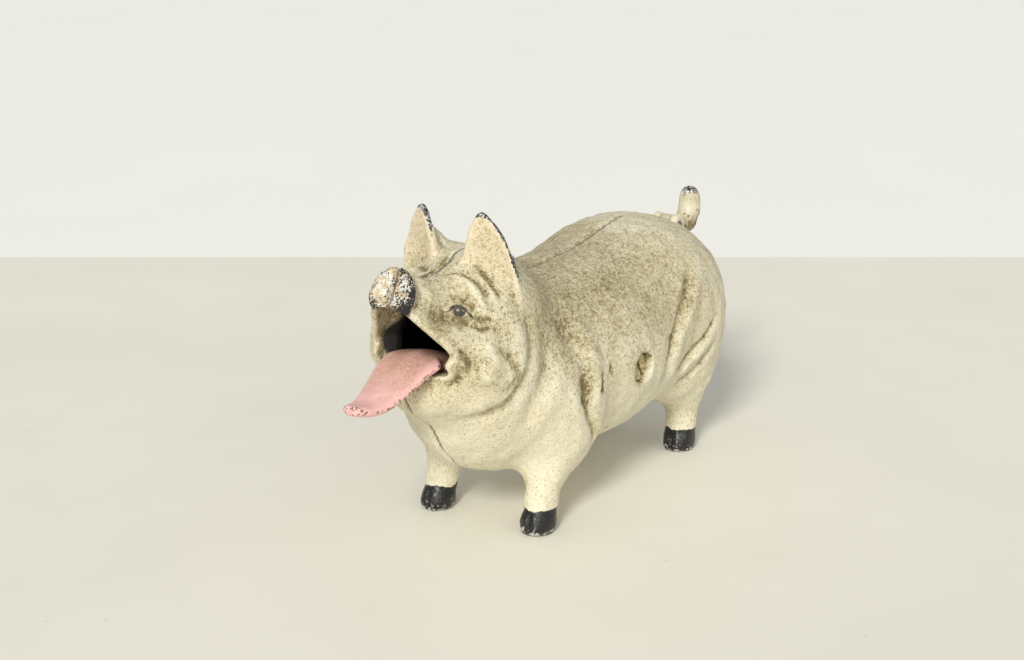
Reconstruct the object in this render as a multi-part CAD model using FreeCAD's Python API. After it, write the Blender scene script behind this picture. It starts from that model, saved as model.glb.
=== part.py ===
import FreeCAD, Part
import math
import os

# Pig-shaped cast iron money bank. A coin lies on the tongue; pressing the tail tips the tongue
# up through a connecting rod and the coin slides down the throat into the hollow body.
# Millimetres, +Z up. The pig faces -Y and its left side is +X. The two half castings meet at X = 0.
# Everything is drawn with Y = 0 midway between front and hind hooves, and moved by Y_SHIFT on
# export, so that the origin is on the ground under the middle of the whole bank.

Vector = FreeCAD.Vector
X_AXIS = Vector(1, 0, 0)
Y_AXIS = Vector(0, 1, 0)
Z_AXIS = Vector(0, 0, 1)

# ---- driving dimensions ----
REAR_END_Y = 95.0            # back of the tail
TONGUE_TIP_Y = -125.0        # front of the tongue
Y_SHIFT = -(REAR_END_Y + TONGUE_TIP_Y) / 2
WALL = 4.0                   # thickness of the castings
OUTSIDE = 60.0               # half width of cutters that go right through a casting
ACROSS = 20.0                # half length of drills that go right through a lever
GAP = 0.3                    # room between pieces that move past each other
RUNNING = 0.05               # radial clearance of a pin that turns in a bore

# body outline: (centre, radii, width of the blend with what comes before), for X >= 0
BODY_ROUNDS = [
    ((0, 38, 57), (37, 44, 33), 0),            # rump
    ((0, -2, 50.5), (37, 56, 34), 10),         # barrel
    ((0, -44, 51), (29, 40, 33), 10),          # chest
    ((20, 45, 43), (15, 20, 24), 8),           # haunch
    ((19, -38, 40), (15, 17, 23), 8),          # shoulder
    ((0, -62, 74), (25.5, 26, 24), 8),         # head
    ((13, -70, 64), (13, 17, 17), 8),          # cheek
    ((0, -79, 57), (14, 18, 12), 8),           # jaw
]
FRONT_CENTRE = (-66, 68)     # Y, Z: the body's skin is measured outwards from the line between
REAR_CENTRE = (40, 56)       # these two points
CAP_ANGLES = [15, 30, 45, 58, 70, 80, 86]
SPINE_STEPS = 13
AROUND_STEPS = 18

# legs: (height, centre X, centre Y, radius in X, radius in Y)
FRONT_LEG = [(0, 20.7, -50.4, 5.8, 6.8), (4, 20.7, -50.2, 5.9, 6.7), (11, 20.6, -48.6, 5.6, 5.7),
             (20, 20.2, -46.0, 6.9, 7.1), (32, 19.0, -42.0, 10.4, 10.9)]
HIND_LEG = [(0, 20.6, 48.5, 5.8, 6.7), (4, 20.6, 48.7, 5.9, 6.6), (11, 20.5, 49.9, 5.6, 5.8),
            (20, 20.3, 50.2, 6.9, 7.2), (32, 19.5, 49.0, 10.6, 11.8)]

# muzzle: round sections along a rising line, and the tilted nose disc at its end
MUZZLE_ROOT = (-70, 76)
MUZZLE_END = (-98.4, 90.5)
MUZZLE_ROOT_R = 15.5
MUZZLE_END_R = 8.6
NOSE_CENTRE = (-99.5, 92.4)
NOSE_TILT = 24
NOSE_WIDE = 8.8
NOSE_HIGH = 7.6
NOSE_THICK = 3.4

# ears: (share of the length, half width, half thickness, hollow), base to tip
EAR_BASE = Vector(13.4, -65.5, 79)
EAR_TIP = Vector(11.8, -71.4, 112.4)
EAR_ACROSS = Vector(0.94, 0.34, 0)
EAR_SECTIONS = [(0.0, 8.2, 4.2, 0.6), (0.22, 9.9, 3.2, 2.2), (0.5, 9.6, 2.4, 3.0),
                (0.75, 7.0, 1.8, 2.0), (0.92, 3.2, 1.3, 0.8), (1.0, 0.7, 0.5, 0.1)]

# mouth
MOUTH_HALF_WIDTH = 11.7
MOUTH_FLOOR_Z = 63.6
MOUTH_SIDES_Z = 75.0         # the sides are upright to here
MOUTH_CORNER = (-85.6, 70.6)  # Y, Z of the corner of the lips
UPPER_LIP_FRONT = (-104.4, 89.2)
LOWER_LIP_FRONT = (-99, 63.6)
MOUTH_ROOF = (3.2, 86.5)     # half width and height of the top of the opening
MOUTH_BACK_Y = -60.0
AHEAD_Y = -130.0             # in front of everything
THROAT_FRONT = (-95, 77)
THROAT_BACK = (-62, 68)
THROAT_FRONT_R = 6.5
THROAT_BACK_R = 14.0

# tongue lever
TONGUE_PIVOT = (-83, 62.5)
TONGUE_THICK = 3.8
TONGUE_HALF_WIDTH = 11.0
TONGUE_ROOT_HALF_WIDTH = 8.0
TONGUE_TOP = [(-71, 64.6), (-77, 66.2), (-83, 68.4), (-90, 69.8), (-98, 67.6),
              (-106, 63.6), (-113, 60.8), (-119, 60.4), (-127, 62.2)]
TONGUE_TIP_LENGTH = 4.5
TONGUE_TIP_HALF_WIDTH = 4.8
TONGUE_NECK = [(-92, 0.0), (-88.2, -1.5), (-87.4, -3.0)]   # Y and change of half width

# levers, rod and pins
TONGUE_ARM_LENGTH = 13.0
TONGUE_ARM_LEAN = 45.0       # degrees back from straight down
TAIL_ARM_LENGTH = 15.0
TAIL_ARM_LEAN = 20.0         # degrees forward from straight down
TONGUE_ARM_HALF_WIDTH = 2.4
TAIL_ARM_HALF_WIDTH = 2.6
TAIL_PIVOT = (73, 80)
LEVER_HALF_THICK = 2.0
EYE_R = 3.2
EYE_THICK = 2.4
ROD_R = 1.5
RIVET_R = 1.25
RIVET_HEAD_R = 2.2
RIVET_HEAD_THICK = 0.8
FRONT_EYE_CLEARANCE = 0.6    # loose fit that takes up the linkage's small errors
PIVOT_PIN_R = 1.5
PIN_SOCKET = 5.0             # depth of the tongue pin's ends in the castings
TONGUE_HUB_R = 3.3
TONGUE_BOSS_R = 4.2
TAIL_HUB_R = 3.8
LUG_R = 4.2
LUG_THICK = 3.0
LUG_FOOT = 10.0              # how far the lug reaches down into the casting
TAIL_SLOT_HALF = LEVER_HALF_THICK + 0.5
TAIL_SLOT_Y = (61.0, 79.5)
TAIL_SLOT_Z = 60.0           # bottom of the slot, inside the hollow
TAIL_BAR_R = 3.8
TAIL_BEND_R = 7.0
TAIL_BAR_Z = 76.8
TAIL_TIP_Z = 88.2
TAIL_NECK_RISE = (3.0, 2.4)  # half height of the neck at the pivot and at the bar

# body screw
SCREW_POS = (-8, 49)         # Y, Z
SCREW_R = 2.5
SCREW_HOLE_R = 2.7
SCREW_BOSS_R = 6.0
RECESS_R = 5.2
RECESS_FLOOR_X = 31.5
SCREW_HEAD_R = 4.6
SCREW_HEAD_THICK = 2.8
SLOT_WIDTH = 1.2
SLOT_DEPTH = 1.2
NUT_SIDE = 7.0
NUT_THICK = 3.2
SCREW_END_X = -36.0
SLOT_TURN = 35               # degrees
NUT_TURN = 20


# ---- outline of the body as a distance function ----
def blend(a, b, width):
    """Smaller of two distances, rounded where they meet."""
    if width == 0 or abs(a - b) >= width:
        return min(a, b)
    share = (width - abs(a - b)) / width
    return min(a, b) - share * share * width / 4


def round_distance(point, centre, radii):
    scaled = [(point[i] - centre[i]) / radii[i] for i in range(3)]
    near = math.sqrt(sum(s * s for s in scaled))
    slope = math.sqrt(sum((s / r) ** 2 for s, r in zip(scaled, radii)))
    return near * (near - 1) / max(slope, 1e-9)


def body_distance(point):
    total = 1e9
    for centre, radii, width in BODY_ROUNDS:
        total = blend(total, round_distance(point, centre, radii), width)
    return total


def skin_point(start, direction, depth):
    """Where a ray from start leaves the body's outline less depth."""
    def outside(t):
        return body_distance([start[i] + t * direction[i] for i in range(3)]) + depth
    far = 1.0
    while outside(far) < 0:
        far += 2.0
    near = far - 2.0
    for _ in range(18):
        middle = (near + far) / 2
        if outside(middle) < 0:
            near = middle
        else:
            far = middle
    return [start[i] + far * direction[i] for i in range(3)]


def stations():
    """Start point and polar angle of each ring of the skin, rump to face."""
    rear = [(REAR_CENTRE, angle) for angle in reversed(CAP_ANGLES)]
    middle = []
    for i in range(SPINE_STEPS + 1):
        s = i / SPINE_STEPS
        point = tuple(REAR_CENTRE[k] + s * (FRONT_CENTRE[k] - REAR_CENTRE[k]) for k in (0, 1))
        middle.append((point, 0))
    front = [(FRONT_CENTRE, -angle) for angle in CAP_ANGLES]
    return rear + middle + front


def skin_grid(depth):
    grid = []
    for (y, z), polar in stations():
        row = []
        for j in range(AROUND_STEPS + 1):
            around = math.radians(-90 + 180 * j / AROUND_STEPS)
            across = 0.0 if j in (0, AROUND_STEPS) else math.cos(around)
            flat = math.cos(math.radians(polar))
            direction = (across * flat, math.sin(math.radians(polar)), math.sin(around) * flat)
            row.append(skin_point((0, y, z), direction, depth))
        grid.append(row)
    for row in (grid[0], grid[-1]):
        level = sum(p[1] for p in row) / len(row)
        for p in row:
            p[1] = level
    return grid


def body_solid(depth):
    """Solid inside the body's outline less depth, both halves, with a small flat at each end."""
    rings = []
    for row in skin_grid(depth):
        mirrored = [[-x, y, z] for x, y, z in reversed(row[:-1])]
        rings.append([Vector(*p) for p in row + mirrored])
    surface = Part.BSplineSurface()
    surface.interpolate(rings)
    u0, u1, v0, v1 = surface.bounds()
    skin = surface.toShape()
    caps = [Part.Face(Part.Wire(surface.uIso(u).toShape())) for u in (u0, u1)]
    shell = Part.Shell([skin] + caps)
    shell.sewShape()
    return positive(Part.Solid(shell))


# ---- small helpers ----
def positive(solid):
    if solid.Volume < 0:
        solid.reverse()
    return solid


def at(y_z, x=0):
    return Vector(x, y_z[0], y_z[1])


def bar_x(radius, x0, x1, y_z):
    """Round bar along X from x0 to x1."""
    return Part.makeCylinder(radius, x1 - x0, at(y_z, x0), X_AXIS)


def block(x0, x1, y0, y1, z0, z1):
    return Part.makeBox(x1 - x0, y1 - y0, z1 - z0, Vector(x0, y0, z0))


def plate_x(points, x0, x1):
    """Flat plate with the given Y, Z outline between x0 and x1."""
    outline = Part.makePolygon([at(p, x0) for p in points + points[:1]])
    return Part.Face(outline).extrude(Vector(x1 - x0, 0, 0))


def ellipse_wire(centre, normal, across, half_across, half_other):
    """Ellipse with one axis along the vector across."""
    ellipse = Part.Ellipse(Vector(0, 0, 0), max(half_across, half_other), min(half_across, half_other))
    wire = Part.Wire(ellipse.toShape())
    long_axis = across if half_across >= half_other else normal.cross(across)
    wire.Placement = FreeCAD.Placement(centre, FreeCAD.Rotation(long_axis, Vector(), normal, "ZXY"))
    return wire


def lean(y_z, degrees, length):
    """Point at the given length from y_z, leaning forward by degrees from straight down."""
    a = math.radians(degrees)
    return (y_z[0] - length * math.sin(a), y_z[1] - length * math.cos(a))


def web(start, end, half_width):
    """Corners of a straight bar seen along X."""
    dy = end[0] - start[0]
    dz = end[1] - start[1]
    run = math.hypot(dy, dz)
    side = (-dz / run * half_width, dy / run * half_width)
    return [(start[0] + side[0], start[1] + side[1]), (end[0] + side[0], end[1] + side[1]),
            (end[0] - side[0], end[1] - side[1]), (start[0] - side[0], start[1] - side[1])]


TONGUE_EYE = lean(TONGUE_PIVOT, -TONGUE_ARM_LEAN, TONGUE_ARM_LENGTH)
TAIL_EYE = lean(TAIL_PIVOT, TAIL_ARM_LEAN, TAIL_ARM_LENGTH)
ROD_X0 = LEVER_HALF_THICK + 0.4
ROD_X1 = ROD_X0 + EYE_THICK


# ---- outside shapes of one half ----
def leg(sections):
    wires = []
    for height, x, y, half_x, half_y in sections:
        wires.append(ellipse_wire(Vector(x, y, height), Z_AXIS, X_AXIS, half_x, half_y))
    return Part.makeLoft(wires, True, False)


def muzzle():
    along = (at(MUZZLE_END) - at(MUZZLE_ROOT)).normalize()
    start = at(MUZZLE_ROOT) - along * 4
    length = (at(MUZZLE_END) - start).Length
    cone = Part.makeCone(MUZZLE_ROOT_R, MUZZLE_END_R, length, start, along)
    normal = Vector(0, -math.cos(math.radians(NOSE_TILT)), math.sin(math.radians(NOSE_TILT)))
    rims = []
    for share, size in ((-0.5, 0.86), (-0.25, 1.0), (0.2, 1.0), (0.5, 0.8)):
        centre = at(NOSE_CENTRE) + normal * (share * NOSE_THICK)
        rims.append(ellipse_wire(centre, normal, X_AXIS, NOSE_WIDE * size, NOSE_HIGH * size))
    nose = Part.makeLoft(rims, True, False)
    return cone.fuse(nose)


def ear():
    along = (EAR_TIP - EAR_BASE).normalize()
    across = (EAR_ACROSS - along * EAR_ACROSS.dot(along)).normalize()
    front = across.cross(along) * -1
    if front.y > 0:
        front = front * -1
    wires = []
    for share, half_width, half_thick, hollow in EAR_SECTIONS:
        centre = EAR_BASE + (EAR_TIP - EAR_BASE) * share
        inner = centre - across * half_width + front * hollow
        outer = centre + across * half_width + front * hollow
        back_arc = Part.Arc(inner, centre - front * (hollow * 0.5 + half_thick), outer)
        front_arc = Part.Arc(outer, centre - front * (hollow * 0.5 - half_thick), inner)
        wires.append(Part.Wire([back_arc.toShape(), front_arc.toShape()]))
    return Part.makeLoft(wires, True, False)


# ---- openings cut in one half ----
def mouth_cut():
    """Inverted V through the front of the head, seen from the front."""
    width = MOUTH_HALF_WIDTH
    roof_half, roof_z = MOUTH_ROOF
    right = [(width, MOUTH_FLOOR_Z), (width, MOUTH_SIDES_Z), (roof_half, roof_z)]
    outline = right + [(-x, z) for x, z in reversed(right)]
    points = [Vector(x, MOUTH_BACK_Y, z) for x, z in outline + outline[:1]]
    return Part.Face(Part.makePolygon(points)).extrude(Vector(0, AHEAD_Y - MOUTH_BACK_Y, 0))


def lip_notch():
    """Wedge in front of the line of the upper lip, seen from the side."""
    corners = [MOUTH_CORNER, UPPER_LIP_FRONT, (AHEAD_Y, UPPER_LIP_FRONT[1]),
               (AHEAD_Y, MOUTH_FLOOR_Z), LOWER_LIP_FRONT]
    return plate_x(corners, -OUTSIDE, OUTSIDE)


def throat():
    """Round hollow behind the lips, inside the muzzle."""
    run = at(THROAT_BACK) - at(THROAT_FRONT)
    return Part.makeCone(THROAT_FRONT_R, THROAT_BACK_R, run.Length, at(THROAT_FRONT), run)


def lug():
    """Ear of the clevis that carries the tail pin."""
    x0 = TAIL_SLOT_HALF
    x1 = x0 + LUG_THICK
    disc = bar_x(LUG_R, x0, x1, TAIL_PIVOT)
    y, z = TAIL_PIVOT
    foot = plate_x([(y - LUG_R, z), (y + LUG_R, z), (y + LUG_R - 1, z - LUG_FOOT),
                    (y - LUG_R - 4, z - LUG_FOOT / 2)], x0, x1)
    return disc.fuse(foot)


def tail_slot():
    return block(-1, TAIL_SLOT_HALF, TAIL_SLOT_Y[0], TAIL_SLOT_Y[1], TAIL_SLOT_Z, OUTSIDE * 2)


def inside_boss(radius, x0, y_z, skin):
    """Boss from x0 out to the skin of the casting."""
    return bar_x(radius, x0, OUTSIDE, y_z).common(skin)


# ---- castings ----
def half_casting():
    """The pig's half for X >= 0; the other half is its mirror image."""
    skin = body_solid(0)
    hollow = body_solid(WALL)
    outside = skin.fuse([leg(FRONT_LEG), leg(HIND_LEG), muzzle(), ear()])
    casting = outside.cut([hollow, mouth_cut(), throat(), lip_notch()])
    casting = casting.common(block(0, OUTSIDE, AHEAD_Y, -AHEAD_Y, -1, -AHEAD_Y))
    casting = casting.fuse(lug().cut(hollow))
    tongue_room = TONGUE_ROOT_HALF_WIDTH + GAP
    bosses = [inside_boss(SCREW_BOSS_R, 0.0, SCREW_POS, skin),
              inside_boss(TONGUE_BOSS_R, tongue_room, TONGUE_PIVOT, skin)]
    casting = casting.fuse(bosses)
    cuts = [tail_slot(),
            bar_x(TONGUE_BOSS_R, -1, tongue_room, TONGUE_PIVOT),
            bar_x(SCREW_HOLE_R, -1, OUTSIDE, SCREW_POS),
            bar_x(RECESS_R, RECESS_FLOOR_X, OUTSIDE, SCREW_POS),
            bar_x(PIVOT_PIN_R, -1, TONGUE_ROOT_HALF_WIDTH + PIN_SOCKET, TONGUE_PIVOT),
            bar_x(PIVOT_PIN_R, -1, ACROSS, TAIL_PIVOT)]
    casting = casting.cut(cuts)
    return max(casting.Solids, key=lambda s: s.Volume)


# ---- moving pieces ----
def tongue_blade():
    top = Part.BSplineCurve()
    top.interpolate([at(p) for p in TONGUE_TOP])
    bottom = Part.BSplineCurve()
    bottom.interpolate([at((y, z - TONGUE_THICK)) for y, z in TONGUE_TOP])
    first, last = TONGUE_TOP[0], TONGUE_TOP[-1]
    ends = [Part.makeLine(at(last), at((last[0], last[1] - TONGUE_THICK))),
            Part.makeLine(at((first[0], first[1] - TONGUE_THICK)), at(first))]
    profile = Part.Face(Part.Wire(Part.__sortEdges__([top.toShape(), ends[0], bottom.toShape(), ends[1]])))
    half = TONGUE_HALF_WIDTH
    profile.translate(Vector(-half - 1, 0, 0))
    slab = profile.extrude(Vector(2 * half + 2, 0, 0))
    return slab.common(tongue_plan())


def tongue_plan():
    """Outline of the tongue seen from above: narrow root, wide blade, round tip."""
    half = TONGUE_HALF_WIDTH
    root = TONGUE_ROOT_HALF_WIDTH
    tip_base_y = TONGUE_TIP_Y + TONGUE_TIP_LENGTH
    neck = [(half + change, y) for y, change in TONGUE_NECK]
    corners = [(TONGUE_TIP_HALF_WIDTH, tip_base_y)] + neck + [(root, TONGUE_TOP[0][0] + 1)]
    right = [Vector(-x, y, 0) for x, y in corners]
    left = [Vector(x, y, 0) for x, y in reversed(corners)]
    sides = Part.makePolygon(right + left)
    tip = Part.Ellipse(Vector(TONGUE_TIP_HALF_WIDTH, tip_base_y, 0), Vector(0, TONGUE_TIP_Y, 0),
                       Vector(0, tip_base_y, 0))
    tip_edge = Part.ArcOfEllipse(tip, 0, math.pi).toShape()
    outline = Part.Wire(Part.__sortEdges__(sides.Edges + [tip_edge]))
    return positive(Part.Face(outline).extrude(Vector(0, 0, -AHEAD_Y)))


def lever_arm(pivot, eye, half_width):
    half = LEVER_HALF_THICK
    arm = plate_x(web(pivot, eye, half_width), -half, half)
    return arm.fuse(bar_x(EYE_R, -half, half, eye))


def tongue_lever():
    hub = bar_x(TONGUE_HUB_R, -TONGUE_ROOT_HALF_WIDTH, TONGUE_ROOT_HALF_WIDTH, TONGUE_PIVOT)
    body = tongue_blade().fuse([hub, lever_arm(TONGUE_PIVOT, TONGUE_EYE, TONGUE_ARM_HALF_WIDTH)])
    holes = [bar_x(PIVOT_PIN_R + RUNNING, -ACROSS, ACROSS, TONGUE_PIVOT),
             bar_x(RIVET_R, -ACROSS, ACROSS, TONGUE_EYE)]
    return body.cut(holes).removeSplitter()


def tail_lever():
    half = LEVER_HALF_THICK
    hub = bar_x(TAIL_HUB_R, -half, half, TAIL_PIVOT)
    bend_y = REAR_END_Y - TAIL_BAR_R - TAIL_BEND_R
    bend_z = TAIL_BAR_Z + TAIL_BEND_R
    tall, low = TAIL_NECK_RISE
    neck = plate_x([(TAIL_PIVOT[0], TAIL_PIVOT[1] + tall), (bend_y, TAIL_BAR_Z + low),
                    (bend_y, TAIL_BAR_Z - low), (TAIL_PIVOT[0], TAIL_PIVOT[1] - tall)], -half, half)
    start = Vector(0, bend_y, TAIL_BAR_Z)
    section = Part.Face(Part.Wire(Part.makeCircle(TAIL_BAR_R, start, Y_AXIS)))
    bend = positive(section.revolve(Vector(0, bend_y, bend_z), X_AXIS, 90))
    top = Vector(0, bend_y + TAIL_BEND_R, bend_z)
    upright = Part.makeCylinder(TAIL_BAR_R, TAIL_TIP_Z - bend_z, top, Z_AXIS)
    tip = Part.makeSphere(TAIL_BAR_R, Vector(0, top.y, TAIL_TIP_Z))
    root = Part.makeSphere(TAIL_BAR_R, start)
    tail = hub.fuse([neck, bend, upright, tip, root, lever_arm(TAIL_PIVOT, TAIL_EYE, TAIL_ARM_HALF_WIDTH)])
    return tail.cut([bar_x(PIVOT_PIN_R + RUNNING, -ACROSS, ACROSS, TAIL_PIVOT),
                     bar_x(RIVET_R, -ACROSS, ACROSS, TAIL_EYE)])


def link_rod():
    middle_x = (ROD_X0 + ROD_X1) / 2
    start = at(TONGUE_EYE, middle_x)
    along = (at(TAIL_EYE, middle_x) - start)
    length = along.Length
    along = along.normalize()
    bar = Part.makeCylinder(ROD_R, length - 2 * EYE_R + 2, start + along * (EYE_R - 1), along)
    bar = bar.common(block(ROD_X0, ROD_X1, AHEAD_Y, -AHEAD_Y, 0, -AHEAD_Y))
    rod = bar.fuse([bar_x(EYE_R, ROD_X0, ROD_X1, TONGUE_EYE), bar_x(EYE_R, ROD_X0, ROD_X1, TAIL_EYE)])
    return rod.cut([bar_x(RIVET_R + FRONT_EYE_CLEARANCE, 0, ACROSS, TONGUE_EYE),
                    bar_x(RIVET_R + RUNNING, 0, ACROSS, TAIL_EYE)])


# ---- pins and fasteners ----
def pivot_pin(half_length, y_z):
    return bar_x(PIVOT_PIN_R, -half_length, half_length, y_z)


def rivet(y_z):
    """Fast in the lever's arm; the rod's eye turns on its free end."""
    low = -LEVER_HALF_THICK
    high = ROD_X1 + GAP
    shank = bar_x(RIVET_R, low, high, y_z)
    heads = [bar_x(RIVET_HEAD_R, low - RIVET_HEAD_THICK, low, y_z),
             bar_x(RIVET_HEAD_R, high, high + RIVET_HEAD_THICK, y_z)]
    return shank.fuse(heads).removeSplitter()


def body_screw():
    head_x = RECESS_FLOOR_X + SCREW_HEAD_THICK
    shank = bar_x(SCREW_R, SCREW_END_X, RECESS_FLOOR_X, SCREW_POS)
    head = bar_x(SCREW_HEAD_R, RECESS_FLOOR_X, head_x, SCREW_POS)
    y, z = SCREW_POS
    half_slot = SLOT_WIDTH / 2
    slot = block(head_x - SLOT_DEPTH, head_x + 1, y - half_slot, y + half_slot, z - 6, z + 6)
    slot.rotate(at(SCREW_POS), X_AXIS, SLOT_TURN)
    return shank.fuse(head).removeSplitter().cut(slot)


def body_nut():
    y, z = SCREW_POS
    half = NUT_SIDE / 2
    square = block(-RECESS_FLOOR_X - NUT_THICK, -RECESS_FLOOR_X, y - half, y + half, z - half, z + half)
    square.rotate(at(SCREW_POS), X_AXIS, NUT_TURN)
    return square.cut(bar_x(SCREW_R + RUNNING, -OUTSIDE, 0, SCREW_POS))


def main():
    os.makedirs("parts", exist_ok=True)
    left = half_casting()
    nodes = {
        "left_shell": left,
        "right_shell": left.mirror(Vector(0, 0, 0), X_AXIS),
        "tongue_lever": tongue_lever(),
        "tail_lever": tail_lever(),
        "link_rod": link_rod(),
        "tongue_pivot_pin": pivot_pin(TONGUE_ROOT_HALF_WIDTH + PIN_SOCKET, TONGUE_PIVOT),
        "tail_pivot_pin": pivot_pin(TAIL_SLOT_HALF + LUG_THICK + GAP, TAIL_PIVOT),
        "front_rivet": rivet(TONGUE_EYE),
        "rear_rivet": rivet(TAIL_EYE),
        "body_screw": body_screw(),
        "body_nut": body_nut(),
    }
    for name, shape in nodes.items():
        shape = shape.Solids[0]
        shape.translate(Vector(0, Y_SHIFT, 0))
        shape.exportStep("parts/" + name + ".step")
        box = shape.BoundBox
        print(name, shape.ShapeType, shape.isValid(), len(shape.Solids), round(shape.Volume),
              [round(v, 2) for v in (box.XMin, box.XMax, box.YMin, box.YMax, box.ZMin, box.ZMax)])


main()
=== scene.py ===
import math

import bpy
import numpy as np
import openvdb
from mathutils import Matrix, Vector


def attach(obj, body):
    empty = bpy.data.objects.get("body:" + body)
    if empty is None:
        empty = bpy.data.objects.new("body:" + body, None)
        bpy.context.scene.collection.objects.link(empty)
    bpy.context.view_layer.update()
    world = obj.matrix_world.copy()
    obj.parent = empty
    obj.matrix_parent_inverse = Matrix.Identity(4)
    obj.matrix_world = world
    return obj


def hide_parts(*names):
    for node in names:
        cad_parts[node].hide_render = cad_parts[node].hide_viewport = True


# Looks of a painted cast iron pig bank. Shapes are given in millimetres in the pig's own frame:
# X to its left, Y backwards with 0 midway between the hooves, Z up. SHIFT moves them to the row
# frame.
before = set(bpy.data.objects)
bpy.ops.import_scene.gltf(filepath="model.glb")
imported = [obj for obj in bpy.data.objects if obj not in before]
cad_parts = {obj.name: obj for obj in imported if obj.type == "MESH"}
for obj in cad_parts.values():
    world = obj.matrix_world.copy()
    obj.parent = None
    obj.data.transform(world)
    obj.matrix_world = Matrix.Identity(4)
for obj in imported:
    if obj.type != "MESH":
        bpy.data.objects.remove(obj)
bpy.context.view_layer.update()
scene = bpy.context.scene
MM = 0.001
SHIFT = np.array((0.0, 15.0, 0.0))
PX, PY, PZ = 0, 1, 2            # columns of a point array


def row(point):
    """A point of the pig's frame, in metres in the row frame."""
    return Vector([(point[i] + SHIFT[i]) * MM for i in range(3)])


# ---------------------------------------------------------------- camera
AZIMUTH = math.radians(33.56)
ELEVATION = math.radians(16.16)
DISTANCE = 0.649                # m from the aim point
AIM = (0, 0, 37.7)              # mm, the point looked at before the framing offset
FRAMING = (-0.01967, 0.01647)   # m to the right and up
SENSOR = 36
FOCAL = 1800 / 1024             # focal length in image widths
back = Vector((math.sin(AZIMUTH) * math.cos(ELEVATION), -math.cos(AZIMUTH) * math.cos(ELEVATION),
               math.sin(ELEVATION)))
right = Vector((math.cos(AZIMUTH), math.sin(AZIMUTH), 0))
up = back.cross(right)
camera_data = bpy.data.cameras.new("camera")
camera_data.sensor_width = SENSOR
camera_data.lens = SENSOR * FOCAL
camera_data.clip_start = 0.01
camera = bpy.data.objects.new("camera", camera_data)
camera.location = row(AIM) + right * FRAMING[0] + up * FRAMING[1] + back * DISTANCE
camera.rotation_mode = "QUATERNION"
camera.rotation_quaternion = back.to_track_quat("Z", "Y")
scene.collection.objects.link(camera)
scene.camera = camera
scene.view_settings.view_transform = "Standard"


# ---------------------------------------------------------------- material builder
def linear(r, g, b):
    """8-bit sRGB to the linear colour that a shader takes."""
    def one(v):
        v = v / 255
        return v / 12.92 if v <= 0.04045 else ((v + 0.055) / 1.055) ** 2.4
    return (one(r), one(g), one(b), 1.0)


class Term:
    """A node output that can be added, multiplied and so on."""

    def __init__(self, tree, out):
        self.tree = tree
        self.out = out

    def math(self, operation, *others):
        node = self.tree.nodes.new("ShaderNodeMath")
        node.operation = operation
        for socket, value in zip(node.inputs, (self,) + others):
            plug(self.tree, value, socket)
        return Term(self.tree, node.outputs[0])

    def __add__(self, other):
        return self.math("ADD", other)

    def __sub__(self, other):
        return self.math("SUBTRACT", other)

    def __mul__(self, other):
        return self.math("MULTIPLY", other)

    __radd__ = __add__
    __rmul__ = __mul__

    def __rsub__(self, other):
        return (self * -1.0) + other

    def __abs__(self):
        return self.math("ABSOLUTE")

    def most(self, other):
        return self.math("MAXIMUM", other)

    def ramp(self, low, high):
        """0 below low, 1 above high, smooth between."""
        node = self.tree.nodes.new("ShaderNodeMapRange")
        node.interpolation_type = "SMOOTHSTEP"
        plug(self.tree, self, node.inputs["Value"])
        plug(self.tree, low, node.inputs["From Min"])
        plug(self.tree, high, node.inputs["From Max"])
        return Term(self.tree, node.outputs["Result"])


def plug(tree, value, socket):
    if isinstance(value, Term):
        tree.links.new(value.out, socket)
    else:
        socket.default_value = value


class Finish:
    """A new material with short ways to add its nodes, in millimetres of the pig's frame."""

    def __init__(self, name):
        self.material = bpy.data.materials.new(name)
        self.material.use_nodes = True
        self.tree = self.material.node_tree
        self.shader = self.tree.nodes["Principled BSDF"]
        coords = self.node("ShaderNodeTexCoord")
        self.place = Term(self.tree, coords.outputs["Object"])
        split = self.node("ShaderNodeSeparateXYZ")
        plug(self.tree, self.place, split.inputs[0])
        x, y, z = (Term(self.tree, split.outputs[i]) for i in range(3))
        self.side = x * 1000.0
        self.x = abs(self.side)
        self.y = y * 1000.0 - SHIFT[PY]
        self.z = z * 1000.0

    def node(self, kind):
        return self.tree.nodes.new(kind)

    def noise(self, size, detail=2.0, rough=0.5):
        """Noise with features of about size millimetres."""
        node = self.node("ShaderNodeTexNoise")
        plug(self.tree, self.place, node.inputs["Vector"])
        node.inputs["Scale"].default_value = 1000.0 / size
        node.inputs["Detail"].default_value = detail
        node.inputs["Roughness"].default_value = rough
        return Term(self.tree, node.outputs[0])

    def cells(self, size):
        """Distance to the nearest of random points about size millimetres apart."""
        node = self.node("ShaderNodeTexVoronoi")
        plug(self.tree, self.place, node.inputs["Vector"])
        node.inputs["Scale"].default_value = 1000.0 / size
        return Term(self.tree, node.outputs["Distance"])

    def given(self, name):
        """A fact stored on the mesh's vertices."""
        node = self.node("ShaderNodeAttribute")
        node.attribute_name = name
        return Term(self.tree, node.outputs["Fac"])

    def along(self, centre, direction):
        """Distance from centre in the given direction, the same on both sides of the pig."""
        total = (self.x - centre[0]) * direction[0] + (self.y - centre[1]) * direction[1]
        return total + (self.z - centre[2]) * direction[2]

    def mix(self, share, first, second):
        node = self.node("ShaderNodeMix")
        node.data_type = "RGBA"
        plug(self.tree, share, node.inputs[0])
        plug(self.tree, first, node.inputs[6])
        plug(self.tree, second, node.inputs[7])
        return Term(self.tree, node.outputs[2])

    def set(self, **values):
        for name, value in values.items():
            plug(self.tree, value, self.shader.inputs[name.replace("_", " ")])

    def bump(self, height, millimetres, strength=1.0):
        node = self.node("ShaderNodeBump")
        node.inputs["Strength"].default_value = strength
        node.inputs["Distance"].default_value = millimetres * MM
        plug(self.tree, height, node.inputs["Height"])
        self.tree.links.new(node.outputs[0], self.shader.inputs["Normal"])


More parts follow.
